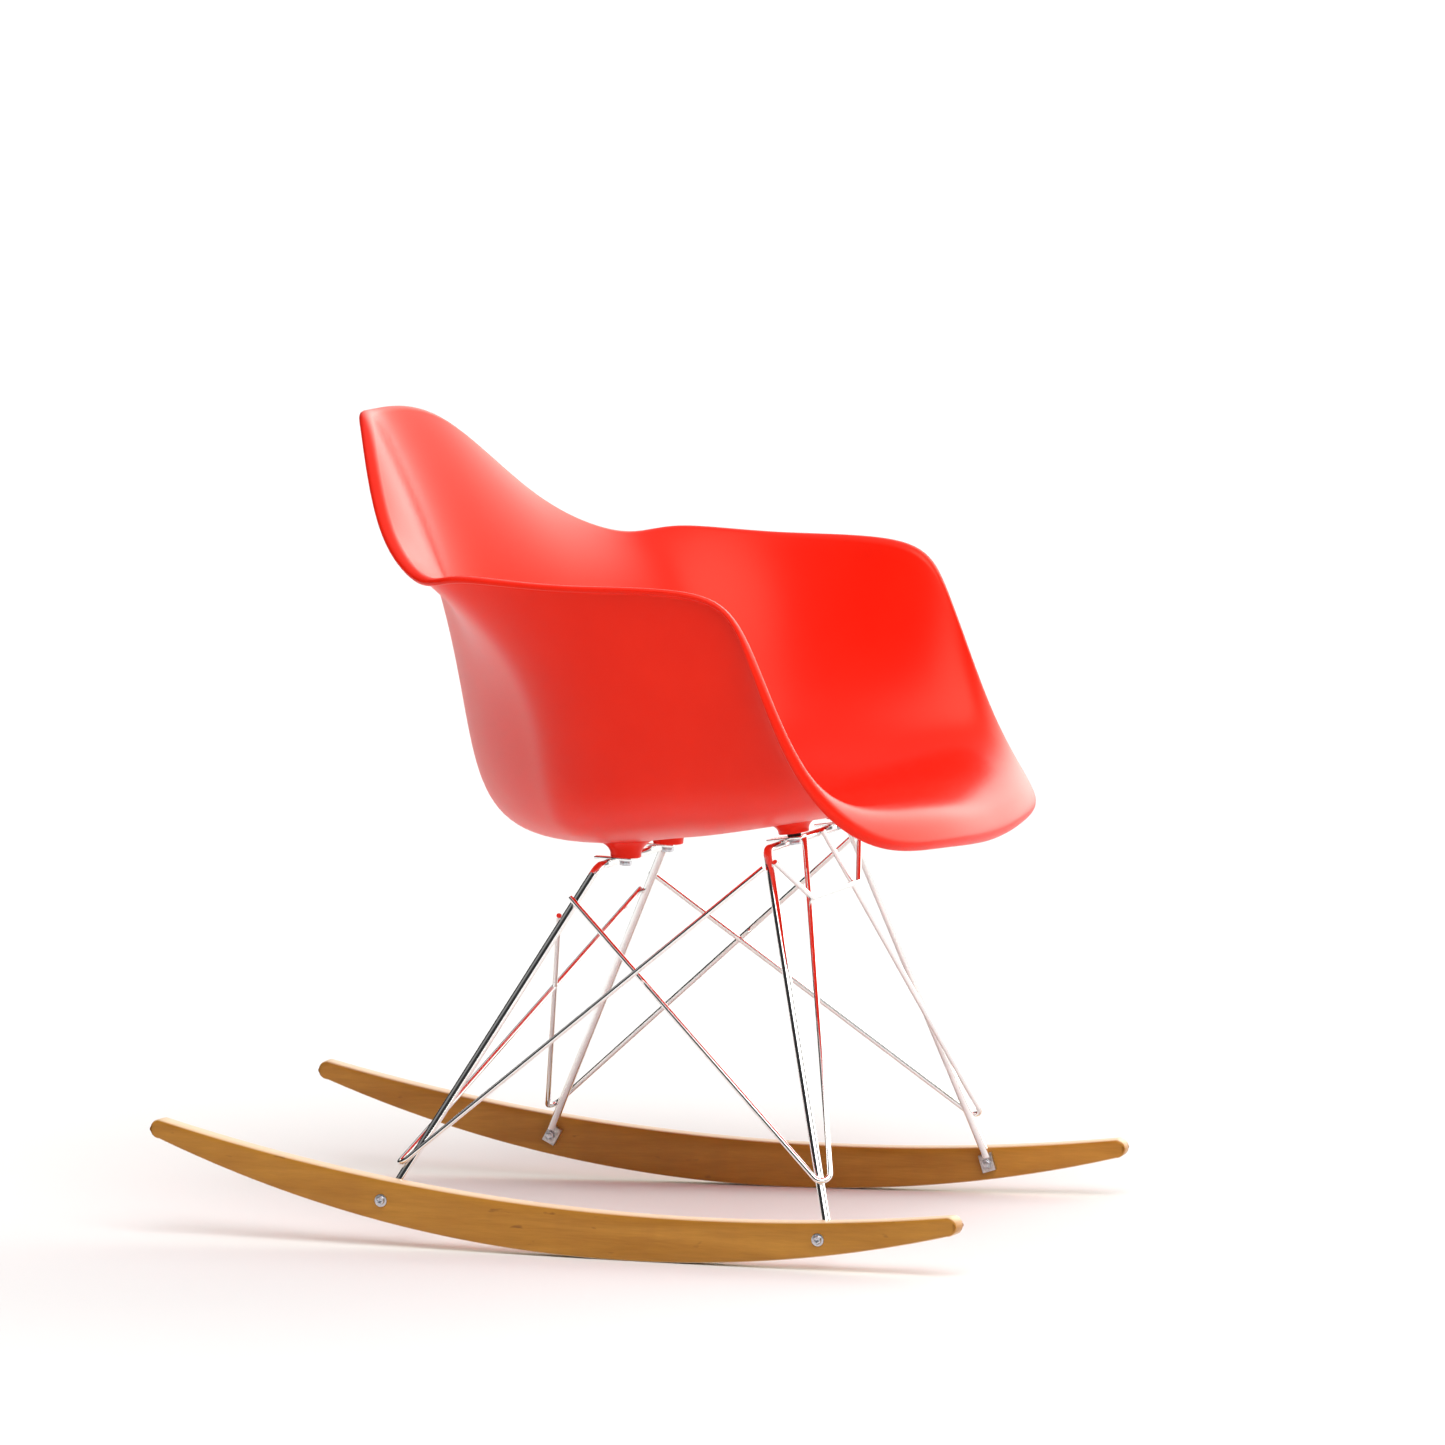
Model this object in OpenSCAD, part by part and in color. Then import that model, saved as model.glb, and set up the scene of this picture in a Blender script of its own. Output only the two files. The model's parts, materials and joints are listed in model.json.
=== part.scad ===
// Rocking armchair: one moulded shell, a bent-wire base and two wooden rockers.
// Millimetres. The chair faces -Y and X = 0 is its plane of symmetry. The floor is Z = 0,
// and the rockers touch it at Y = 0.

/* [Shell] */
// Wall thickness of the moulded shell
shell_wall = 5.6; // [4.6:0.2:6]
// Inner radius of the rolled lip
lip_radius = 4; // [3:0.5:5]
// Angle through which the lip is rolled outward
lip_angle = 80; // [60:5:90]

/* [Shell mounts] */
// Distance of each rear boss from the middle of the chair
rear_mount_x = 65; // [60:1:70]
// Distance of each front boss from the middle of the chair
front_mount_x = 76; // [70:1:80]
// Radius of a boss at its lower end
boss_tip_radius = 14.5; // [13:0.5:16]
// Radius to which a boss flares inside the shell's wall
boss_root_radius = 30; // [26:0.5:32]

/* [Wire base] */
// Radius of the two leg rods
leg_radius = 4; // [3.5:0.1:4.2]
// Radius of the bracing wires
wire_radius = 2.5; // [2:0.1:2.6]
// Bend radius of the leg rods, on their centre line
leg_bend = 12; // [9:1:16]
// Bend radius of the bracing wires, on their centre line
wire_bend = 8; // [7:0.5:9]

/* [Rockers] */
// Radius of a rocker's lower edge
rocker_radius = 1286; // [1200:2:1400]
// Thickness of a rocker
rocker_thickness = 21; // [18:1:23]
// Height of a rocker at its middle
rocker_height = 44; // [40:1:48]
// Height of a rocker at its tips
rocker_tip_height = 17; // [14:1:20]
// Distance between the rockers' outer faces over Y = 0
rocker_spacing = 551; // [549:1:556]
// Angle by which each rocker opens out towards the front
rocker_toe = 3.8; // [3:0.2:4]

/* [Hidden] */
$fn = 48;

LEFT = 1;
RIGHT = -1;
plastic = "orangered";
chrome = "gainsboro";
zinc = "silver";
maple = "peru";

// Middle surface of the shell. Each rib runs from the seat's centre to the rim as a cubic
// Bezier curve, and the points of one kind on neighbouring ribs form a smooth closed ring.
seat_centre = [0, 51.4, 368.5];
seat_slope = -0.131;
// Rim, from the middle of the front edge round one side to the middle of the back's top
rim = [[0, -273, 372], [139, -269, 382], [263, -238, 384], [320, -178, 446], [321, -131, 585],
    [323, -100, 633], [343, 50, 627], [328, 158, 641], [301, 187, 622], [221, 261, 661],
    [97, 318, 774], [0, 354, 761]];
// Handles that set how the wall leans where it meets the rim
wall = [[0, -273, 432], [102, -265, 443], [187, -233, 450], [247, -182, 443], [278, -121, 443],
    [279, -57, 452], [250, -3, 465], [206, 25, 479], [160, 44, 490], [112, 84, 493],
    [50, 159, 478], [0, 179, 471]];
// How far out the flat of the seat pulls each rib, as a share of the way to the rim
reach = [0.69, 0.71, 0.75, 0.79, 0.83, 0.85, 0.88, 0.9, 0.92, 0.93, 0.96, 0.94];
rib_steps = 4;
ring_steps = 14;
lip_steps = 5;
last = len(rim) - 1;
ring_count = 2 * last;
rib_count = ring_count * rib_steps;

function mirrored(p) = [-p.x, p.y, p.z];
function full_ring(half) =
    [for (i = [0:ring_count - 1]) i <= last ? half[i] : mirrored(half[ring_count - i])];
floor_ring_half = [for (i = [0:last]) let (p = seat_centre + reach[i] * (rim[i] - seat_centre))
    [p.x, p.y, seat_centre.z + seat_slope * (p.y - seat_centre.y)]];
rim_ring = full_ring(rim);
wall_ring = full_ring(wall);
floor_ring = full_ring(floor_ring_half);

// Uniform cubic B-spline through a closed ring of points, at place s
function around(ring, s) =
    let (n = len(ring), i = floor(s), t = s - i)
    (pow(1 - t, 3) * ring[(i + n - 1) % n]
    + (3 * pow(t, 3) - 6 * t * t + 4) * ring[i % n]
    + (1 + 3 * t + 3 * t * t - 3 * pow(t, 3)) * ring[(i + 1) % n]
    + pow(t, 3) * ring[(i + 2) % n]) / 6;
function shell_skin(s, t) =
    pow(1 - t, 3) * seat_centre
    + 3 * pow(1 - t, 2) * t * around(floor_ring, s)
    + 3 * (1 - t) * t * t * around(wall_ring, s)
    + pow(t, 3) * around(rim_ring, s);
function unit(v) = v / norm(v);
nudge = 0.01;
function along_rib(s, t) = unit(shell_skin(s, t) - shell_skin(s, t - nudge));
function out_of_wall(s, t) =
    let (n = ring_count,
        across = shell_skin((s + nudge) % n, t) - shell_skin((s - nudge + n) % n, t))
    unit(cross(across, along_rib(s, t)));

// Section of the wall across the rim: [along the rib, out of the wall], from the inner
// face round the rolled lip to the outer face
half_wall = shell_wall / 2;
lip_pivot = lip_radius + half_wall;
lip_section = concat(
    [for (i = [1:lip_steps]) let (a = lip_angle * i / lip_steps, r = lip_pivot + half_wall)
        [r * sin(a), lip_pivot - r * cos(a)]],
    [for (i = [1:3]) let (a = lip_angle, b = a - 90 + 45 * i)
        [lip_pivot * sin(a) + half_wall * cos(b), lip_pivot - lip_pivot * cos(a)
            + half_wall * sin(b)]],
    [for (i = [lip_steps:-1:1]) let (a = lip_angle * i / lip_steps, r = lip_pivot - half_wall)
        [r * sin(a), lip_pivot - r * cos(a)]]);
// The rib stops short of the rim by the depth of the lip
function rim_share(s) = 1 - 1.2 * lip_pivot / (3 * norm(around(rim_ring, s) - around(wall_ring, s)));

function wall_ring_points(j, side) =
    [for (i = [0:rib_count - 1]) let (s = i / rib_steps, t = rim_share(s) * j / ring_steps)
        shell_skin(s, t) + side * half_wall * out_of_wall(s, t)];
function lip_ring_points(q) =
    [for (i = [0:rib_count - 1]) let (s = i / rib_steps, t = rim_share(s))
        shell_skin(s, t) + q.x * along_rib(s, t) + q.y * out_of_wall(s, t)];
shell_rings = concat(
    [for (j = [1:ring_steps]) wall_ring_points(j, -1)],
    [for (q = lip_section) lip_ring_points(q)],
    [for (j = [ring_steps:-1:1]) wall_ring_points(j, 1)]);
ring_total = len(shell_rings);
pole_normal = [0, -seat_slope, -1] / norm([0, -seat_slope, -1]);
shell_points = concat([seat_centre - half_wall * pole_normal],
    [for (ring = shell_rings) each ring],
    [seat_centre + half_wall * pole_normal]);
function ring_point(k, i) = 1 + k * rib_count + i % rib_count;
last_point = len(shell_points) - 1;
shell_faces = concat(
    [for (i = [0:rib_count - 1]) [0, ring_point(0, i + 1), ring_point(0, i)]],
    [for (k = [0:ring_total - 2]) for (i = [0:rib_count - 1]) each
        [[ring_point(k, i), ring_point(k + 1, i + 1), ring_point(k + 1, i)],
        [ring_point(k, i), ring_point(k, i + 1), ring_point(k + 1, i + 1)]]],
    [for (i = [0:rib_count - 1])
        [last_point, ring_point(ring_total - 1, i), ring_point(ring_total - 1, i + 1)]]);

// Wire base. Each leg rod runs foot, top corner, top corner, foot.
front_corner = [129, -87, 370];
rear_corner = [102, 87, 346];
front_splay = [0.4, -0.3, -1];
rear_splay = [0.446, 0.537, -1];
// A bend is a hair thicker than its straight rods, which run a short way into it
bend_swell = 0.03;
rod_overlap = 0.15;
front_foot_z = 37;
rear_foot_z = 51;
function leg_at(corner, splay, z) = corner + (corner.z - z) * splay;

// Each side brace hooks round the lower front leg, each cross brace round the lower rear leg
side_brace_path = [[121.2, 108.1, 318], [260.5, -191, 64.5], [29, -92.6, 373.3]];
cross_brace_path = [[139.5, -87, 354], [231.3, 249, 67], [-124, 118.4, 301]];
stretcher_path = [[136, -96.8, 359.5], [74, -114.7, 320], [-74, -114.7, 320],
    [-136, -96.8, 359.5]];

// Shell mounts, in a frame at the crossbar's axis: +Z along the bolt, up into the boss
weld_bite = 0.2;
plate_thickness = 2.5;
plate_width = 22;
rear_mount_tilt = 2;
front_mount_tilt = -8;
rear_bolt_y = -15;
front_bolt_y = -11.5;
plate_rear_edge = 13;
plate_front_margin = 8.5;
spacer_thickness = 3;
spacer_radius = 6.5;
bolt_radius = 3;
bolt_head_flats = 10;
bolt_head_height = 4;
bolt_clearance = 0.25;
washer_radius = 6.4;
washer_thickness = 1.4;
insert_radius = 5;
insert_length = 9;
boss_height = 20;
boss_cut = 100;
// Where the middle of the shell's wall lies over each bolt, and how it slopes there
rear_cap_z = 23;
rear_cap_turn = [-5.7, -3.9];
front_cap_z = 21.8;
front_cap_turn = [-2, -2.2];
plate_low = leg_radius - weld_bite;
plate_top = plate_low + plate_thickness;
rear_boss_z = plate_top;
front_boss_z = plate_top + spacer_thickness;

// Rockers, drawn in the plane of their outer face
rocker_middle_y = 82;
rocker_half_length = 402;
rear_screw_y = 249;
front_screw_y = -186;
screw_radius = 3;
screw_head_radius = 4.4;
screw_head_height = 2.2;
screw_washer_radius = 6;
screw_washer_thickness = 1.2;
lug_width = 13;
lug_below = 7.5;
lug_above = 10;
lug_thickness = 6;
// Each lug follows its leg: the angle it leans, and how far off the screw its middle lies
rear_lug_lean = 28;
front_lug_lean = -17;
rear_lug_offset = -1.5;
front_lug_offset = -0.5;
nut_flats = 8;
nut_thickness = 4;
recess_size = 1;

function lower_edge(y) = rocker_radius - sqrt(pow(rocker_radius, 2) - y * y);
rocker_ends = [rocker_middle_y - rocker_half_length, rocker_middle_y + rocker_half_length];
function circle_centre(a, b, c) =
    let (d = 2 * (a.x * (b.y - c.y) + b.x * (c.y - a.y) + c.x * (a.y - b.y)),
        aa = a * a, bb = b * b, cc = c * c)
    [(aa * (b.y - c.y) + bb * (c.y - a.y) + cc * (a.y - b.y)) / d,
    (aa * (c.x - b.x) + bb * (a.x - c.x) + cc * (b.x - a.x)) / d];
top_middle = [rocker_middle_y, lower_edge(rocker_middle_y) + rocker_height];
top_front = [rocker_ends[0], lower_edge(rocker_ends[0]) + rocker_tip_height];
top_rear = [rocker_ends[1], lower_edge(rocker_ends[1]) + rocker_tip_height];
top_centre = circle_centre(top_front, top_middle, top_rear);
top_radius = norm(top_middle - top_centre);
function upper_edge(y) = top_centre.y - sqrt(pow(top_radius, 2) - pow(y - top_centre.x, 2));
function screw_z(y) = (lower_edge(y) + upper_edge(y)) / 2;
// Places along the rocker where its full-round tips start
tip_centres = rocker_ends + [1, -1] * rocker_tip_height / 2;

function euler_from_axes(e1, e2) =
    let (n = cross(e1, e2)) [atan2(e2.z, n.z), -asin(e1.z), atan2(e1.y, e1.x)];
function pointing(v) = [0, acos(v.z / norm(v)), atan2(v.y, v.x)];

module rod(a, b, r) {
    translate(a)
        rotate(pointing(b - a))
            cylinder(h = norm(b - a), r = r);
}

// A round bar through the given corners, each rounded to one bend radius
module bent_rod(path, r, bend) {
    count = len(path);
    turns = [for (i = [1:count - 2]) let (d1 = unit(path[i] - path[i - 1]),
        d2 = unit(path[i + 1] - path[i])) acos(d1 * d2)];
    setbacks = concat([0], [for (turn = turns) bend * tan(turn / 2)], [0]);
    union() {
        for (i = [0:count - 2]) {
            d = unit(path[i + 1] - path[i]);
            start = i == 0 ? 0 : setbacks[i] - rod_overlap;
            end = i == count - 2 ? 0 : setbacks[i + 1] - rod_overlap;
            rod(path[i] + start * d, path[i + 1] - end * d, r);
        }
        for (i = [1:count - 2]) {
            d1 = unit(path[i] - path[i - 1]);
            d2 = unit(path[i + 1] - path[i]);
            inward = unit(d2 - (d1 * d2) * d1);
            translate(path[i] - setbacks[i] * d1 + bend * inward)
                rotate(euler_from_axes(-inward, d1))
                    rotate_extrude(angle = turns[i - 1])
                        translate([bend, 0]) circle(r = r + bend_swell);
        }
    }
}

module leg_rod(corner, splay, foot_z) {
    foot = leg_at(corner, splay, foot_z);
    bent_rod([foot, corner, mirrored(corner), mirrored(foot)], leg_radius, leg_bend);
}

module rear_mount(side) {
    translate([side * rear_mount_x, rear_corner.y, rear_corner.z])
        rotate([rear_mount_tilt, 0, 0]) children();
}

module front_mount(side) {
    translate([side * front_mount_x, front_corner.y, front_corner.z])
        rotate([front_mount_tilt, 0, 0]) children();
}

// Frame on a rocker's outer face, with +X out of the chair's side
module at_rocker(side) {
    mirror([side < 0 ? 1 : 0, 0, 0])
        translate([rocker_spacing / 2, 0, 0])
            rotate([0, 0, rocker_toe]) children();
}

module at_screw(side, y) {
    at_rocker(side) translate([0, y, screw_z(y)]) rotate([0, 90, 0]) children();
}

// A cone cut off inside the wall of the shell, along the wall's own slope
module boss(side, bolt_y, z, cap_z, cap_turn) {
    difference() {
        translate([0, bolt_y, z])
            cylinder(h = boss_height, r1 = boss_tip_radius, r2 = boss_root_radius);
        translate([0, bolt_y, cap_z])
            rotate([cap_turn.x, side * cap_turn.y, 0])
                translate([-boss_cut / 2, -boss_cut / 2, 0])
                    cube([boss_cut, boss_cut, boss_height]);
    }
}

module insert_hole(bolt_y, z) {
    translate([0, bolt_y, z - 1]) cylinder(h = insert_length + 1, r = insert_radius);
}

module seat_shell() {
    color(plastic) difference() {
        union() {
            polyhedron(points = shell_points, faces = shell_faces, convexity = 8);
            for (side = [LEFT, RIGHT]) {
                rear_mount(side)
                    boss(side, rear_bolt_y, rear_boss_z, rear_cap_z, rear_cap_turn);
                front_mount(side)
                    boss(side, front_bolt_y, front_boss_z, front_cap_z, front_cap_turn);
            }
        }
        for (side = [LEFT, RIGHT]) {
            rear_mount(side) insert_hole(rear_bolt_y, rear_boss_z);
            front_mount(side) insert_hole(front_bolt_y, front_boss_z);
        }
    }
}

module threaded_insert(bolt_y, z) {
    color("goldenrod") translate([0, bolt_y, z]) difference() {
        cylinder(h = insert_length, r = insert_radius);
        translate([0, 0, -1]) cylinder(h = insert_length + 2, r = bolt_radius);
    }
}

module rear_insert(side) {
    rear_mount(side) threaded_insert(rear_bolt_y, rear_boss_z);
}

module front_insert(side) {
    front_mount(side) threaded_insert(front_bolt_y, front_boss_z);
}

module mount_plate(bolt_y) {
    front_edge = bolt_y - plate_front_margin;
    color(chrome) difference() {
        translate([-plate_width / 2, front_edge, plate_low])
            cube([plate_width, plate_rear_edge - front_edge, plate_thickness]);
        translate([0, bolt_y, 0]) cylinder(h = 2 * plate_top, r = bolt_radius + bolt_clearance);
    }
}

module spacer(bolt_y) {
    color("black") translate([0, bolt_y, plate_top]) difference() {
        cylinder(h = spacer_thickness, r = spacer_radius);
        translate([0, 0, -1]) cylinder(h = spacer_thickness + 2, r = bolt_radius + bolt_clearance);
    }
}

module mount_washer(bolt_y) {
    color(zinc) translate([0, bolt_y, plate_low - washer_thickness]) difference() {
        cylinder(h = washer_thickness, r = washer_radius);
        translate([0, 0, -1]) cylinder(h = washer_thickness + 2, r = bolt_radius + bolt_clearance);
    }
}

module mount_bolt(bolt_y, boss_z) {
    head_top = plate_low - washer_thickness;
    color(zinc) translate([0, bolt_y, head_top]) union() {
        translate([0, 0, -bolt_head_height])
            cylinder(h = bolt_head_height, r = bolt_head_flats / 2 / cos(30), $fn = 6);
        cylinder(h = boss_z + insert_length - 2 - head_top, r = bolt_radius);
    }
}

module rear_bolt(side) {
    rear_mount(side) mount_bolt(rear_bolt_y, rear_boss_z);
}

module front_bolt(side) {
    front_mount(side) mount_bolt(front_bolt_y, front_boss_z);
}

module foot_lug(side, y, lean, offset) {
    color(zinc) at_screw(side, y)
        translate([0, 0, -rocker_thickness - lug_thickness]) difference() {
            rotate([0, 0, lean]) translate([-lug_above, offset - lug_width / 2, 0])
                cube([lug_above + lug_below, lug_width, lug_thickness]);
            translate([0, 0, -1])
                cylinder(h = lug_thickness + 2, r = screw_radius + bolt_clearance);
        }
}

module rear_lug(side) {
    foot_lug(side, rear_screw_y, rear_lug_lean, rear_lug_offset);
}

module front_lug(side) {
    foot_lug(side, front_screw_y, front_lug_lean, front_lug_offset);
}

module rocker(side) {
    color(maple) difference() {
        at_rocker(side) translate([-rocker_thickness, 0, 0]) rotate([90, 0, 90])
            linear_extrude(rocker_thickness) union() {
                difference() {
                    intersection() {
                        translate([0, rocker_radius]) circle(r = rocker_radius, $fn = 720);
                        translate([tip_centres[0], 0])
                            square([tip_centres[1] - tip_centres[0], rocker_radius]);
                    }
                    translate(top_centre) circle(r = top_radius, $fn = 720);
                }
                for (y = tip_centres)
                    translate([y, screw_z(y)]) circle(r = (upper_edge(y) - lower_edge(y)) / 2);
            }
        for (y = [rear_screw_y, front_screw_y])
            at_screw(side, y) translate([0, 0, -rocker_thickness - 1])
                cylinder(h = rocker_thickness + 2, r = screw_radius + bolt_clearance);
    }
}

module rocker_screw(side, y) {
    head_low = screw_washer_thickness;
    color(zinc) at_screw(side, y) difference() {
        union() {
            translate([0, 0, head_low])
                cylinder(h = screw_head_height, r1 = screw_head_radius, r2 = screw_head_radius - 1);
            translate([0, 0, -rocker_thickness - lug_thickness - nut_thickness])
                cylinder(h = rocker_thickness + lug_thickness + nut_thickness + head_low,
                    r = screw_radius);
        }
        for (a = [0, 90]) rotate([0, 0, a])
            translate([-2.2, -recess_size / 2, head_low + screw_head_height - 1.2])
                cube([4.4, recess_size, 2]);
    }
}

module screw_washer(side, y) {
    color(zinc) at_screw(side, y) difference() {
        cylinder(h = screw_washer_thickness, r = screw_washer_radius);
        translate([0, 0, -1])
            cylinder(h = screw_washer_thickness + 2, r = screw_radius + bolt_clearance);
    }
}

module rocker_nut(side, y) {
    color(zinc) at_screw(side, y)
        translate([0, 0, -rocker_thickness - lug_thickness - nut_thickness]) difference() {
            cylinder(h = nut_thickness, r = nut_flats / 2 / cos(30), $fn = 6);
            translate([0, 0, -1]) cylinder(h = nut_thickness + 2, r = screw_radius);
        }
}

module front_leg_frame() {
    color(chrome) leg_rod(front_corner, front_splay, front_foot_z);
}

module rear_leg_frame() {
    color(chrome) leg_rod(rear_corner, rear_splay, rear_foot_z);
}

module brace(side, path) {
    color(chrome) mirror([side < 0 ? 1 : 0, 0, 0]) bent_rod(path, wire_radius, wire_bend);
}

module front_stretcher() {
    color(chrome) bent_rod(stretcher_path, wire_radius, wire_bend);
}

seat_shell();
rear_insert(LEFT);  // rear_left_insert
rear_insert(RIGHT);  // rear_right_insert
front_insert(LEFT);  // front_left_insert
front_insert(RIGHT);  // front_right_insert
rear_mount(LEFT) mount_plate(rear_bolt_y);  // rear_left_mount_plate
rear_mount(RIGHT) mount_plate(rear_bolt_y);  // rear_right_mount_plate
front_mount(LEFT) mount_plate(front_bolt_y);  // front_left_mount_plate
front_mount(RIGHT) mount_plate(front_bolt_y);  // front_right_mount_plate
front_mount(LEFT) spacer(front_bolt_y);  // front_left_spacer
front_mount(RIGHT) spacer(front_bolt_y);  // front_right_spacer
rear_bolt(LEFT);  // rear_left_mount_bolt
rear_bolt(RIGHT);  // rear_right_mount_bolt
front_bolt(LEFT);  // front_left_mount_bolt
front_bolt(RIGHT);  // front_right_mount_bolt
rear_mount(LEFT) mount_washer(rear_bolt_y);  // rear_left_mount_washer
rear_mount(RIGHT) mount_washer(rear_bolt_y);  // rear_right_mount_washer
front_mount(LEFT) mount_washer(front_bolt_y);  // front_left_mount_washer
front_mount(RIGHT) mount_washer(front_bolt_y);  // front_right_mount_washer
front_leg_frame();
rear_leg_frame();
brace(LEFT, side_brace_path);  // left_side_brace
brace(RIGHT, side_brace_path);  // right_side_brace
brace(LEFT, cross_brace_path);  // left_cross_brace
brace(RIGHT, cross_brace_path);  // right_cross_brace
front_stretcher();
rear_lug(LEFT);  // rear_left_foot_lug
rear_lug(RIGHT);  // rear_right_foot_lug
front_lug(LEFT);  // front_left_foot_lug
front_lug(RIGHT);  // front_right_foot_lug
rocker(LEFT);  // left_rocker
rocker(RIGHT);  // right_rocker
rocker_screw(LEFT, rear_screw_y);  // rear_left_rocker_screw
rocker_screw(RIGHT, rear_screw_y);  // rear_right_rocker_screw
rocker_screw(LEFT, front_screw_y);  // front_left_rocker_screw
rocker_screw(RIGHT, front_screw_y);  // front_right_rocker_screw
screw_washer(LEFT, rear_screw_y);  // rear_left_screw_washer
screw_washer(RIGHT, rear_screw_y);  // rear_right_screw_washer
screw_washer(LEFT, front_screw_y);  // front_left_screw_washer
screw_washer(RIGHT, front_screw_y);  // front_right_screw_washer
rocker_nut(LEFT, rear_screw_y);  // rear_left_rocker_nut
rocker_nut(RIGHT, rear_screw_y);  // rear_right_rocker_nut
rocker_nut(LEFT, front_screw_y);  // front_left_rocker_nut
rocker_nut(RIGHT, front_screw_y);  // front_right_rocker_nut
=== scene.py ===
import json
import math

import bmesh
import bpy
from mathutils import Matrix, Vector


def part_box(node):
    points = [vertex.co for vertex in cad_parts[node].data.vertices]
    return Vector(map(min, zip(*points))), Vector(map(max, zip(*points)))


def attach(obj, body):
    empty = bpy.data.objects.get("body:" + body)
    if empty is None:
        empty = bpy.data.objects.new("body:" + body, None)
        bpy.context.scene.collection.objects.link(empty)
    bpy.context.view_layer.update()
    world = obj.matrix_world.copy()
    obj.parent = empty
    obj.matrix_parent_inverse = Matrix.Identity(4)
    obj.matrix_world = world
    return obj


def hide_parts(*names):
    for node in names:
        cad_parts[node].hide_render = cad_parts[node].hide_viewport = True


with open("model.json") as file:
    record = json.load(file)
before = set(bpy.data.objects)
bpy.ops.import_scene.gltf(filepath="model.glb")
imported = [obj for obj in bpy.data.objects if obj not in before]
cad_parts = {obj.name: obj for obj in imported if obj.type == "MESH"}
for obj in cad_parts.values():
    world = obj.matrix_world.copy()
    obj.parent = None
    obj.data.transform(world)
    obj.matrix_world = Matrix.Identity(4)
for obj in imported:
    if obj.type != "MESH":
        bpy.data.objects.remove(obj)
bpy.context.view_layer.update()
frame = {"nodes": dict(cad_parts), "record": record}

scene = bpy.context.scene
cadNodes = frame["nodes"]


def startMaterial(name):
    material = bpy.data.materials.new(name)
    material.use_nodes = True
    nodes = material.node_tree.nodes
    return material, nodes, material.node_tree.links, nodes["Principled BSDF"]


def objectCoordinates(nodes, links, scale=(1, 1, 1), turn=(0, 0, 0)):
    coordinates = nodes.new("ShaderNodeTexCoord")
    mapping = nodes.new("ShaderNodeMapping")
    mapping.inputs["Scale"].default_value = scale
    mapping.inputs["Rotation"].default_value = turn
    links.new(coordinates.outputs["Object"], mapping.inputs["Vector"])
    return mapping.outputs["Vector"]


def addNoise(nodes, links, vector, scale, detail=3, roughness=0.5, distortion=0):
    texture = nodes.new("ShaderNodeTexNoise")
    texture.inputs["Scale"].default_value = scale
    texture.inputs["Detail"].default_value = detail
    texture.inputs["Roughness"].default_value = roughness
    texture.inputs["Distortion"].default_value = distortion
    links.new(vector, texture.inputs["Vector"])
    return texture.outputs["Fac"]


def addRamp(nodes, links, factor, stops):
    ramp = nodes.new("ShaderNodeValToRGB")
    for place, colour in stops[2:]:
        ramp.color_ramp.elements.new(place)
    for element, (place, colour) in zip(ramp.color_ramp.elements, sorted(stops)):
        element.position = place
        element.color = (*colour, 1)
    links.new(factor, ramp.inputs["Fac"])
    return ramp.outputs["Color"]


def addMix(nodes, links, factor, first, second, blend="MIX"):
    mix = nodes.new("ShaderNodeMix")
    mix.data_type = "RGBA"
    mix.blend_type = blend
    for value, socket in ((factor, mix.inputs[0]), (first, mix.inputs[6]), (second, mix.inputs[7])):
        if isinstance(value, bpy.types.NodeSocket):
            links.new(value, socket)
        elif isinstance(value, tuple):
            socket.default_value = (*value, 1)
        else:
            socket.default_value = value
    return mix.outputs[2]


def addRange(nodes, links, factor, low, high):
    mapRange = nodes.new("ShaderNodeMapRange")
    mapRange.inputs["To Min"].default_value = low
    mapRange.inputs["To Max"].default_value = high
    links.new(factor, mapRange.inputs["Value"])
    return mapRange.outputs["Result"]


def addBump(nodes, links, shader, height, strength, distance):
    bump = nodes.new("ShaderNodeBump")
    bump.inputs["Strength"].default_value = strength
    bump.inputs["Distance"].default_value = distance
    links.new(height, bump.inputs["Height"])
    links.new(bump.outputs["Normal"], shader.inputs["Normal"])


def makeShellPlastic():
    # through-coloured plastic: a fine moulded grain, faint flow clouds and rubbed, shinier patches
    material, nodes, links, shader = startMaterial("shellPlastic")
    place = objectCoordinates(nodes, links)
    clouds = addNoise(nodes, links, place, 7, 4, 0.55)
    grain = addNoise(nodes, links, place, 1400, 2, 0.6)
    colour = addRamp(nodes, links, clouds, [(0.3, (0.83, 0.01, 0.002)), (0.7, (0.89, 0.015, 0.003))])
    links.new(colour, shader.inputs["Base Color"])
    links.new(addRange(nodes, links, clouds, 0.3, 0.38), shader.inputs["Roughness"])
    shader.inputs["Specular IOR Level"].default_value = 0.25
    shader.inputs["Specular Tint"].default_value = (1, 0.8, 0.6, 1)
    addBump(nodes, links, shader, grain, 0.12, 0.0002)
    return material


def makeChrome():
    # bright plate with a faint waviness and a little dulling
    material, nodes, links, shader = startMaterial("brightChrome")
    place = objectCoordinates(nodes, links)
    waves = addNoise(nodes, links, place, 60, 2)
    haze = addNoise(nodes, links, place, 25, 4, 0.6)
    links.new(addRamp(nodes, links, haze, [(0.3, (0.86, 0.86, 0.86)), (0.7, (0.93, 0.93, 0.92))]),
              shader.inputs["Base Color"])
    links.new(addRange(nodes, links, haze, 0.03, 0.1), shader.inputs["Roughness"])
    shader.inputs["Metallic"].default_value = 1
    addBump(nodes, links, shader, waves, 0.05, 0.0004)
    return material


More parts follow.
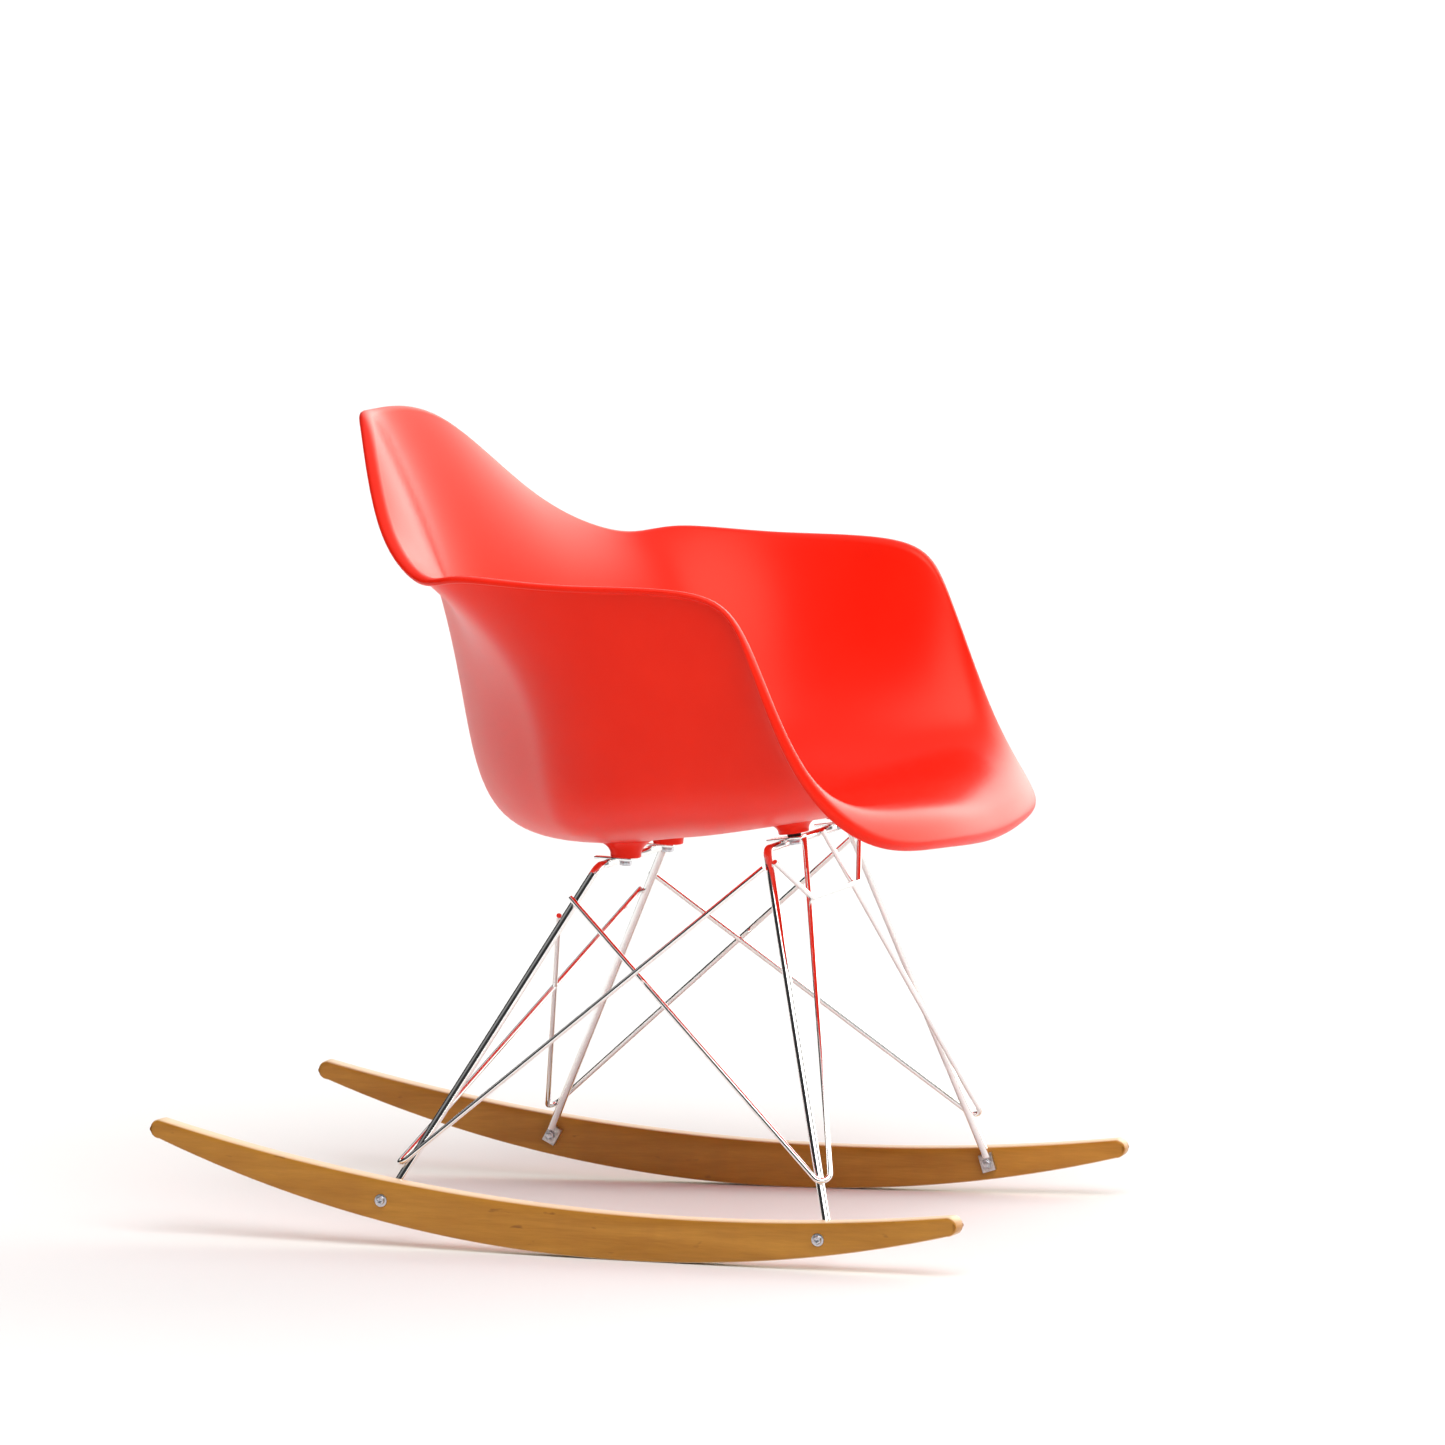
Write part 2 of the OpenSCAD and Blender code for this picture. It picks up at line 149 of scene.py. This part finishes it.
def makeMetal(name, dark, light, roughnessRange, grainScale):
    material, nodes, links, shader = startMaterial(name)
    place = objectCoordinates(nodes, links)
    spots = addNoise(nodes, links, place, grainScale, 4, 0.65)
    links.new(addRamp(nodes, links, spots, [(0.35, dark), (0.65, light)]), shader.inputs["Base Color"])
    links.new(addRange(nodes, links, spots, *roughnessRange), shader.inputs["Roughness"])
    shader.inputs["Metallic"].default_value = 1
    addBump(nodes, links, shader, spots, 0.15, 0.0001)
    return material


def makeRubber():
    material, nodes, links, shader = startMaterial("blackRubber")
    place = objectCoordinates(nodes, links)
    grain = addNoise(nodes, links, place, 900, 3)
    links.new(addRamp(nodes, links, grain, [(0.3, (0.01, 0.01, 0.01)), (0.7, (0.03, 0.03, 0.03))]),
              shader.inputs["Base Color"])
    shader.inputs["Roughness"].default_value = 0.6
    addBump(nodes, links, shader, grain, 0.3, 0.0002)
    return material


maple = {
    "dark": (0.42, 0.172, 0.018),
    "light": (0.56, 0.255, 0.036),
    "figure": (0.36, 0.14, 0.02),
    "fleck": (0.2, 0.07, 0.012),
    # the paler top and bottom faces: partly the laminations' own edges, partly painted light on the top
    "edge": (0.82, 0.62, 0.38),
}


def makeMaple():
    # grain runs along the rocker; a soft cross figure and small dark flecks lie in it
    material, nodes, links, shader = startMaterial("lacqueredMaple")
    along = objectCoordinates(nodes, links, (1, 0.05, 1))
    fibres = addNoise(nodes, links, along, 520, 5, 0.65, 0.2)
    bands = addNoise(nodes, links, along, 60, 4, 0.6, 0.5)
    across = objectCoordinates(nodes, links, (1, 1, 0.35))
    figure = addNoise(nodes, links, across, 24, 3, 0.5, 0.6)
    fleckPlace = objectCoordinates(nodes, links, (1, 0.35, 1))
    flecks = addNoise(nodes, links, fleckPlace, 110, 2, 0.5)
    colour = addRamp(nodes, links, bands, [(0.32, maple["dark"]), (0.68, maple["light"])])
    fibreShade = addRamp(nodes, links, fibres, [(0.3, (0.86, 0.84, 0.8)), (0.7, (1, 1, 1))])
    colour = addMix(nodes, links, 1.0, colour, fibreShade, "MULTIPLY")
    figureShare = addRamp(nodes, links, figure, [(0.45, (0, 0, 0)), (0.75, (0.35, 0.35, 0.35))])
    colour = addMix(nodes, links, figureShare, colour, maple["figure"])
    fleckShare = addRamp(nodes, links, flecks, [(0.7, (0, 0, 0)), (0.78, (0.75, 0.75, 0.75))])
    colour = addMix(nodes, links, fleckShare, colour, maple["fleck"])
    # painted light: the top and bottom faces are made paler than the sides, partly for the laminations'
    # own paler edges and partly as a painted highlight where light falls on the top
    geometry = nodes.new("ShaderNodeNewGeometry")
    upward = nodes.new("ShaderNodeSeparateXYZ")
    links.new(geometry.outputs["Normal"], upward.inputs["Vector"])
    steep = nodes.new("ShaderNodeMath")
    steep.operation = "ABSOLUTE"
    links.new(upward.outputs["Z"], steep.inputs[0])
    paleEdgeAndPaintedLightShare = addRamp(nodes, links, steep.outputs[0], [(0.45, (0, 0, 0)), (0.9, (0.8, 0.8, 0.8))])
    colour = addMix(nodes, links, paleEdgeAndPaintedLightShare, colour, maple["edge"])
    links.new(colour, shader.inputs["Base Color"])
    links.new(addRange(nodes, links, fibres, 0.3, 0.42), shader.inputs["Roughness"])
    shader.inputs["Specular IOR Level"].default_value = 0.3
    shader.inputs["Coat Weight"].default_value = 0.08
    shader.inputs["Coat Roughness"].default_value = 0.2
    addBump(nodes, links, shader, fibres, 0.12, 0.0003)
    return material


materials = {
    "shell_plastic": makeShellPlastic(),
    "base_chrome": makeChrome(),
    "rocker_maple": makeMaple(),
    "fastener_zinc": makeMetal("brightZinc", (0.5, 0.52, 0.56), (0.72, 0.74, 0.78), (0.22, 0.38), 500),
    "lug_steel": makeMetal("platedSteel", (0.45, 0.45, 0.45), (0.68, 0.68, 0.67), (0.25, 0.42), 350),
    "spacer_rubber": makeRubber(),
    "insert_brass": makeMetal("machinedBrass", (0.6, 0.42, 0.15), (0.75, 0.55, 0.22), (0.2, 0.35), 600),
}
slotOf = {row["node"]: row["material_slot"] for row in frame["record"]["subparts"]}
for name, part in cadNodes.items():
    part.data.materials.clear()
    part.data.materials.append(materials[slotOf[name]])
print("materials made")


def finishPiece(bm, name, slotName, replaced=(), smoothAngle=40):
    mesh = bpy.data.meshes.new(name)
    bm.to_mesh(mesh)
    bm.free()
    mesh.shade_smooth()
    mesh.set_sharp_from_angle(angle=math.radians(smoothAngle))
    mesh.materials.append(materials[slotName])
    piece = bpy.data.objects.new(name, mesh)
    scene.collection.objects.link(piece)
    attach(piece, "root")
    if replaced:
        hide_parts(*replaced)


mergeDistance = 0.00002


def gridPiece(columns, rows, placeAt):
    # a flat grid whose points are all moved to placeAt(column, row)
    bm = bmesh.new()
    bmesh.ops.create_grid(bm, x_segments=columns, y_segments=rows, size=1)
    for vertex in bm.verts:
        column = round((vertex.co.x + 1) / 2 * columns)
        row = round((vertex.co.y + 1) / 2 * rows)
        vertex.co = placeAt(column, row)
    bmesh.ops.remove_doubles(bm, verts=bm.verts, dist=mergeDistance)
    bmesh.ops.recalc_face_normals(bm, faces=bm.faces)
    return bm


shell = {
    "centre": Vector((0, 0.0514, 0.3685)),
    "slope": -0.131,
    "wall": 0.0056,
    "lipRadius": 0.004,
    "lipAngle": math.radians(80),
    # rim and leaning handles, from the middle of the front round one side to the back's top
    "rim": [(0, -0.273, 0.372), (0.139, -0.269, 0.382), (0.263, -0.238, 0.384),
            (0.32, -0.178, 0.446), (0.321, -0.131, 0.585), (0.323, -0.1, 0.633),
            (0.343, 0.05, 0.627), (0.328, 0.158, 0.641), (0.301, 0.187, 0.622),
            (0.221, 0.261, 0.661), (0.097, 0.318, 0.774), (0, 0.354, 0.761)],
    "handles": [(0, -0.273, 0.432), (0.102, -0.265, 0.443), (0.187, -0.233, 0.45),
                (0.247, -0.182, 0.443), (0.278, -0.121, 0.443), (0.279, -0.057, 0.452),
                (0.25, -0.003, 0.465), (0.206, 0.025, 0.479), (0.16, 0.044, 0.49),
                (0.112, 0.084, 0.493), (0.05, 0.159, 0.478), (0, 0.179, 0.471)],
    "reach": [0.69, 0.71, 0.75, 0.79, 0.83, 0.85, 0.88, 0.9, 0.92, 0.93, 0.96, 0.94],
    "ribsPerStation": 12,
    "ringSteps": 44,
    "lipSteps": 8,
    "edgeSteps": 5,
    # how far apart along the surface the points lie that give its direction
    "nudge": 0.01,
    # the rib stops short of the rim by this many depths of the lip
    "lipAllowance": 1.2,
    "smoothAngle": 60,
}


def closedRing(half):
    half = [Vector(p) for p in half]
    mirrored = [Vector((-p.x, p.y, p.z)) for p in half[-2:0:-1]]
    return half + mirrored


rimRing = closedRing(shell["rim"])
handleRing = closedRing(shell["handles"])
floorHalf = []
for share, rimPoint in zip(shell["reach"], shell["rim"]):
    p = shell["centre"].lerp(Vector(rimPoint), share)
    p.z = shell["centre"].z + shell["slope"] * (p.y - shell["centre"].y)
    floorHalf.append(p)
floorRing = closedRing(floorHalf)
stationCount = len(rimRing)


def along(ring, s):
    # uniform cubic B-spline through a closed ring
    s = s % stationCount
    i = int(s)
    t = s - i
    weights = ((1 - t) ** 3, 3 * t ** 3 - 6 * t * t + 4, 1 + 3 * t + 3 * t * t - 3 * t ** 3, t ** 3)
    total = Vector((0, 0, 0))
    for k, weight in enumerate(weights):
        total += ring[(i + k - 1) % stationCount] * (weight / 6)
    return total


def ribAt(s):
    return shell["centre"], along(floorRing, s), along(handleRing, s), along(rimRing, s)


def onRib(rib, t):
    u = 1 - t
    return u ** 3 * rib[0] + 3 * u * u * t * rib[1] + 3 * u * t * t * rib[2] + t ** 3 * rib[3]


def buildShell():
    halfWall = shell["wall"] / 2
    pivot = shell["lipRadius"] + halfWall
    nudge = shell["nudge"]
    columns = stationCount * shell["ribsPerStation"]
    lipAngle = shell["lipAngle"]
    # the wall's section: [how far along the rib, or None, along past its end, out of the wall]
    section = [(k / shell["ringSteps"], 0, -halfWall) for k in range(shell["ringSteps"] + 1)]
    for k in range(1, shell["lipSteps"] + 1):
        angle = lipAngle * k / shell["lipSteps"]
        radius = pivot + halfWall
        section.append((1, radius * math.sin(angle), pivot - radius * math.cos(angle)))
    for k in range(1, shell["edgeSteps"]):
        angle = lipAngle - math.pi / 2 + math.pi * k / shell["edgeSteps"]
        section.append((1, pivot * math.sin(lipAngle) + halfWall * math.cos(angle),
                        pivot - pivot * math.cos(lipAngle) + halfWall * math.sin(angle)))
    for k in range(shell["lipSteps"], 0, -1):
        angle = lipAngle * k / shell["lipSteps"]
        radius = pivot - halfWall
        section.append((1, radius * math.sin(angle), pivot - radius * math.cos(angle)))
    section += [(k / shell["ringSteps"], 0, halfWall) for k in range(shell["ringSteps"], -1, -1)]
    poleNormal = Vector((0, -shell["slope"], -1)).normalized()
    ribs = []
    for column in range(columns):
        s = column / shell["ribsPerStation"]
        rib, before, after = ribAt(s), ribAt(s - nudge), ribAt(s + nudge)
        end = 1 - shell["lipAllowance"] * pivot / (3 * (rib[3] - rib[2]).length)
        ribs.append((rib, before, after, end))

    def placeAt(column, row):
        rib, before, after, end = ribs[column % columns]
        share, forward, outward = section[row]
        t = end * share
        if t == 0:
            return rib[0] + outward * poleNormal
        point = onRib(rib, t)
        alongRib = (point - onRib(rib, t - nudge)).normalized()
        across = onRib(after, t) - onRib(before, t)
        out = across.cross(alongRib).normalized()
        return point + forward * alongRib + outward * out

    bm = gridPiece(columns, len(section) - 1, placeAt)
    finishPiece(bm, "seatShell", "shell_plastic", ["seat_shell"], shell["smoothAngle"])


buildShell()
print("seat shell built")


# each boss under the shell flares from its tip, round the insert's bore, to the wall
bosses = {
    "tipRadius": 0.0145,
    "boreRadius": 0.005,
    "insertLength": 0.009,
    "edgeRound": 0.0012,
    "rear": {"tilt": math.radians(2), "height": 0.0167, "rootRadius": 0.028, "slope": (0.068, -0.1)},
    "front": {"tilt": math.radians(-8), "height": 0.0125, "rootRadius": 0.026, "slope": (0.038, -0.035)},
    "flareSteps": 14,
    "flarePower": 2.6,
    "turnSteps": 64,
}


def buildBoss(end, sideName, side):
    form = bosses[end]
    low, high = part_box(f"{end}_{sideName}_insert")
    up = Vector((0, -math.sin(form["tilt"]), math.cos(form["tilt"])))
    base = (low + high) / 2 - up * bosses["insertLength"] / 2
    tip, edge, height = bosses["tipRadius"], bosses["edgeRound"], form["height"]
    power = bosses["flarePower"]
    profile = [(0, bosses["insertLength"]), (bosses["boreRadius"], bosses["insertLength"]),
               (bosses["boreRadius"], 0), (tip - edge, 0), (tip - edge * 0.3, edge * 0.3), (tip, edge)]
    for k in range(1, bosses["flareSteps"] + 1):
        share = k / bosses["flareSteps"]
        profile.append((tip + (form["rootRadius"] - tip) * share ** power, edge + (height - edge) * share))
    bm = bmesh.new()
    points = [bm.verts.new((radius, 0, z)) for radius, z in profile]
    edges = [bm.edges.new(pair) for pair in zip(points, points[1:])]
    bmesh.ops.spin(bm, geom=points + edges, cent=(0, 0, 0), axis=(0, 0, 1), angle=2 * math.pi,
                   steps=bosses["turnSteps"], use_merge=True)
    bmesh.ops.remove_doubles(bm, verts=bm.verts, dist=mergeDistance)
    topEdges = [e for e in bm.edges if e.is_boundary]
    bmesh.ops.holes_fill(bm, edges=topEdges)
    for vertex in bm.verts:
        # the root follows the slope of the wall that it grows from
        share = max(0, vertex.co.z / height) if vertex.co.xy.length > tip * 0.9 else 0
        vertex.co.z += share * (form["slope"][0] * side * vertex.co.x + form["slope"][1] * vertex.co.y)
    bmesh.ops.recalc_face_normals(bm, faces=bm.faces)
    bm.transform(Matrix.Translation(base) @ Matrix.Rotation(form["tilt"], 4, "X"))
    finishPiece(bm, f"{end}{sideName.capitalize()}Boss", "shell_plastic", smoothAngle=50)


for end in ("rear", "front"):
    for sideName, side in (("left", 1), ("right", -1)):
        buildBoss(end, sideName, side)
print("bosses built")


# a rocker's lower edge is one circle about a point over the contact with the floor
rocker = {
    "radius": 1.286,
    "thickness": 0.021,
    "height": 0.044,
    "tipHeight": 0.017,
    "spacing": 0.551,
    "toe": math.radians(3.8),
    "middle": 0.082,
    "halfLength": 0.402,
    "columns": 150,
    "tipColumns": 14,
    "rows": 4,
    "edgeRound": 0.0022,
    "sharpAngle": math.radians(60),
    "smoothAngle": 35,
}


def lowerEdge(y):
    return rocker["radius"] - math.sqrt(rocker["radius"] ** 2 - y * y)


def circleThrough(a, b, c):
    d = 2 * (a[0] * (b[1] - c[1]) + b[0] * (c[1] - a[1]) + c[0] * (a[1] - b[1]))
    aa, bb, cc = (p[0] ** 2 + p[1] ** 2 for p in (a, b, c))
    x = (aa * (b[1] - c[1]) + bb * (c[1] - a[1]) + cc * (a[1] - b[1])) / d
    y = (aa * (c[0] - b[0]) + bb * (a[0] - c[0]) + cc * (b[0] - a[0])) / d
    return x, y, math.hypot(a[0] - x, a[1] - y)


rockerFront = rocker["middle"] - rocker["halfLength"]
rockerRear = rocker["middle"] + rocker["halfLength"]
topCircle = circleThrough((rockerFront, lowerEdge(rockerFront) + rocker["tipHeight"]),
                          (rocker["middle"], lowerEdge(rocker["middle"]) + rocker["height"]),
                          (rockerRear, lowerEdge(rockerRear) + rocker["tipHeight"]))


def upperEdge(y):
    return topCircle[1] - math.sqrt(topCircle[2] ** 2 - (y - topCircle[0]) ** 2)


def buildRocker(sideName, side):
    tipRadius = rocker["tipHeight"] / 2
    straightStart, straightEnd = rockerFront + tipRadius, rockerRear - tipRadius
    columns, tips, rows = rocker["columns"], rocker["tipColumns"], rocker["rows"]

    def outline(column):
        # y, and the heights of the lower and upper edges there
        for tip, count, way in ((straightStart, column, -1), (straightEnd, columns - column, 1)):
            if count < tips:
                radius = (upperEdge(tip) - lowerEdge(tip)) / 2
                angle = math.pi / 2 * (1 - count / tips)
                middle = (upperEdge(tip) + lowerEdge(tip)) / 2
                reach = radius * math.cos(angle)
                return tip + way * radius * math.sin(angle), middle - reach, middle + reach
        y = straightStart + (straightEnd - straightStart) * (column - tips) / (columns - 2 * tips)
        return y, lowerEdge(y), upperEdge(y)

    def placeAt(column, row):
        y, low, high = outline(column)
        return Vector((0, y, low + (high - low) * row / rows))

    bm = gridPiece(columns, rows, placeAt)
    block = bmesh.ops.extrude_face_region(bm, geom=bm.faces[:])
    moved = [item for item in block["geom"] if isinstance(item, bmesh.types.BMVert)]
    bmesh.ops.translate(bm, verts=moved, vec=(-rocker["thickness"], 0, 0))
    bmesh.ops.recalc_face_normals(bm, faces=bm.faces)
    sharp = [e for e in bm.edges if len(e.link_faces) == 2 and e.calc_face_angle(0) > rocker["sharpAngle"]]
    bmesh.ops.bevel(bm, geom=sharp, offset=rocker["edgeRound"], segments=3, profile=0.5,
                    affect="EDGES", material=-1)
    bm.transform(Matrix.Translation((rocker["spacing"] / 2, 0, 0))
                 @ Matrix.Rotation(rocker["toe"], 4, "Z"))
    if side < 0:
        bmesh.ops.scale(bm, verts=bm.verts, vec=(-1, 1, 1))
    bmesh.ops.recalc_face_normals(bm, faces=bm.faces)
    finishPiece(bm, f"{sideName}Rocker", "rocker_maple", [f"{sideName}_rocker"], rocker["smoothAngle"])


for sideName, side in (("left", 1), ("right", -1)):
    buildRocker(sideName, side)
print("rockers built")


# how wide the broken edges are on each kind of small part
hardware = {
    "mount_bolt": 0.0005,
    "mount_washer": 0.0003,
    "mount_plate": 0.0006,
    "spacer": 0.0004,
    "foot_lug": 0.0009,
    "rocker_screw": 0.00018,
    "screw_washer": 0.0003,
    "rocker_nut": 0.0005,
}
edgeBreaking = {
    "mergeDistance": 0.000005,
    "flatAngle": math.radians(0.6),
    "sharpAngle": math.radians(30),
    "smoothAngle": 30,
}


def softenEdges(nodeName, width):
    # the CAD solid's own shape, with its flat faces made whole and its sharp edges broken
    bm = bmesh.new()
    bm.from_mesh(cadNodes[nodeName].data)
    bmesh.ops.remove_doubles(bm, verts=bm.verts, dist=edgeBreaking["mergeDistance"])
    bmesh.ops.dissolve_limit(bm, angle_limit=edgeBreaking["flatAngle"], verts=bm.verts, edges=bm.edges)
    bmesh.ops.recalc_face_normals(bm, faces=bm.faces)
    sharp = [e for e in bm.edges
             if len(e.link_faces) == 2 and e.calc_face_angle(0) > edgeBreaking["sharpAngle"]]
    bmesh.ops.bevel(bm, geom=sharp, offset=width, segments=2, profile=0.5, affect="EDGES",
                    clamp_overlap=True, material=-1)
    words = nodeName.split("_")
    pieceName = words[0] + "".join(word.capitalize() for word in words[1:])
    finishPiece(bm, pieceName, slotOf[nodeName], [nodeName], edgeBreaking["smoothAngle"])


for nodeName in sorted(cadNodes):
    for ending, width in hardware.items():
        if nodeName.endswith(ending):
            softenEdges(nodeName, width)
print("hardware built")


floorPlane = {
    "halfWidth": 90,
    "squares": 8,
}


def makeFloor():
    squares = floorPlane["squares"]
    bm = bmesh.new()
    bmesh.ops.create_grid(bm, x_segments=squares, y_segments=squares, size=floorPlane["halfWidth"])
    mesh = bpy.data.meshes.new("floor")
    bm.to_mesh(mesh)
    bm.free()
    material, nodes, links, shader = startMaterial("paleFloor")
    shader.inputs["Base Color"].default_value = (0.8, 0.8, 0.8, 1)
    shader.inputs["Roughness"].default_value = 0.9
    shader.inputs["Specular IOR Level"].default_value = 0.1
    mesh.materials.append(material)
    floor = bpy.data.objects.new("floor", mesh)
    scene.collection.objects.link(floor)


studioLight = {
    "skyStrength": 1.0,
    "darkSide": (0.03, 0.03, 0.031),
    "overhead": (0.9, 0.9, 0.9),
    "wall": (3.2, 3.1, 2.9),
    "wallTowards": (0.87, -0.48, 0.1),
    "keyStrength": 2.2,
    "keySoftness": 50,
    "keyDirection": (0.5, 0.35, -0.8),
    "cardPower": 10,
    "cardSize": (2.2, 1.4),
    "cardPlace": (-2.2, -3.2, 1.9),
    "cardTarget": (0, 0, 0.45),
}


def makeWorld():
    # bright overhead and far off to the front left; dark on the near side, like an unlit room
    world = bpy.data.worlds.new("studio")
    scene.world = world
    world.use_nodes = True
    nodes, links = world.node_tree.nodes, world.node_tree.links
    background = nodes["Background"]
    coordinates = nodes.new("ShaderNodeTexCoord")
    split = nodes.new("ShaderNodeSeparateXYZ")
    links.new(coordinates.outputs["Generated"], split.inputs["Vector"])
    overhead = addRamp(nodes, links, split.outputs["Z"], [(0.55, (0, 0, 0)), (0.9, (1, 1, 1))])
    sideways = nodes.new("ShaderNodeVectorMath")
    sideways.operation = "DOT_PRODUCT"
    sideways.inputs[1].default_value = studioLight["wallTowards"]
    links.new(coordinates.outputs["Generated"], sideways.inputs[0])
    wall = addRamp(nodes, links, sideways.outputs["Value"], [(0.55, (0, 0, 0)), (0.85, (1, 1, 1))])
    colour = addMix(nodes, links, overhead, studioLight["darkSide"], studioLight["overhead"])
    colour = addMix(nodes, links, wall, colour, studioLight["wall"])
    links.new(colour, background.inputs["Color"])
    background.inputs["Strength"].default_value = studioLight["skyStrength"]


def makeKeyLight():
    light = bpy.data.lights.new("keyLight", "SUN")
    light.energy = studioLight["keyStrength"]
    light.angle = math.radians(studioLight["keySoftness"])
    sun = bpy.data.objects.new("keyLight", light)
    sun.rotation_euler = Vector(studioLight["keyDirection"]).to_track_quat("-Z", "Y").to_euler()
    scene.collection.objects.link(sun)


def makeFrontCard():
    light = bpy.data.lights.new("frontCard", "AREA")
    light.shape = "RECTANGLE"
    light.size, light.size_y = studioLight["cardSize"]
    light.energy = studioLight["cardPower"]
    card = bpy.data.objects.new("frontCard", light)
    card.location = studioLight["cardPlace"]
    towards = Vector(studioLight["cardTarget"]) - Vector(studioLight["cardPlace"])
    card.rotation_euler = towards.to_track_quat("-Z", "Y").to_euler()
    scene.collection.objects.link(card)


viewPoint = {
    "place": (-9.8426, -3.1158, 1.4345),
    "turn": (math.radians(84.69), 0, math.radians(-72.45)),
    "lens": 274.05,
    "sensor": 36,
    "farthest": 300,
}


def makeCamera():
    data = bpy.data.cameras.new("camera")
    data.sensor_width = viewPoint["sensor"]
    data.lens = viewPoint["lens"]
    data.clip_end = viewPoint["farthest"]
    camera = bpy.data.objects.new("camera", data)
    camera.location = viewPoint["place"]
    camera.rotation_euler = viewPoint["turn"]
    scene.collection.objects.link(camera)
    scene.camera = camera


makeFloor()
makeWorld()
makeKeyLight()
makeFrontCard()
makeCamera()
scene.view_settings.view_transform = "Standard"
print("stage set")
